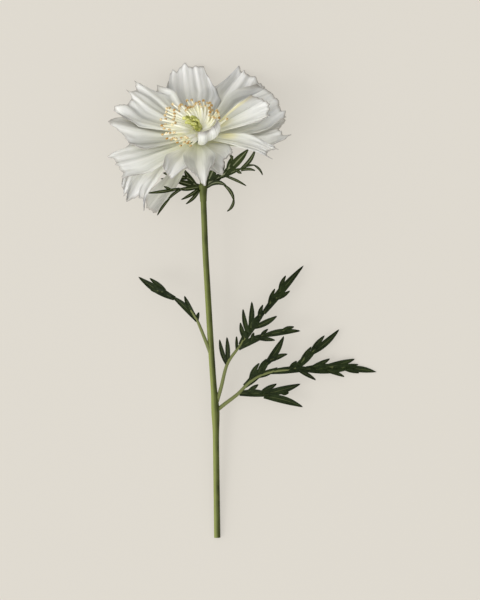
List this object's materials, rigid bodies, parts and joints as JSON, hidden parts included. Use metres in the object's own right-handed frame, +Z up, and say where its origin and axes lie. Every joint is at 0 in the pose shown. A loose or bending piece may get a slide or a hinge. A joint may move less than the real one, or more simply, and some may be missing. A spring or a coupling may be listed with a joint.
{
  "type": "nigella flower",
  "caption": "Cut white nigella flower lying on a surface: ruffled toothed petals, fanned stamens, finely cut bracts and lobed compound leaves on a slender stem.",
  "frame": {"origin": "on the surface that the flower lies on, below the middle of the box round the whole flower", "axes": "+Y along the stem from the cut end towards the bloom, +Z up from the surface, +X to the right seen from above with the bloom at the top"},
  "size_m": [0.0919, 0.1623, 0.0482],
  "materials": {
    "stem": "satin green stem, paler on one side",
    "leaf": "matt dark green leaf",
    "petal": "satin white petal",
    "stamen": "matt cream filament",
    "pistil": "satin yellow green"
  },
  "bodies": {
    "root": {"stem": "stem", "leaf_left": "leaf", "leaf_middle": "leaf", "leaf_right": "leaf", "involucre": "leaf", "petal_rear": "petal", "petal_rear_left": "petal", "petal_left": "petal", "petal_left_front": "petal", "petal_front_left_long": "petal", "petal_bent_back": "petal", "petal_front_left": "petal", "petal_front": "petal", "petal_front_right": "petal", "petal_right_front": "petal", "petal_right": "petal", "petal_rear_right": "petal", "petal_rear_right_long": "petal", "petal_under_rear": "petal", "petal_inner_right": "petal", "petal_inner_front": "petal", "stamens": "stamen", "pistil": "pistil"}
  },
  "joints": []
}
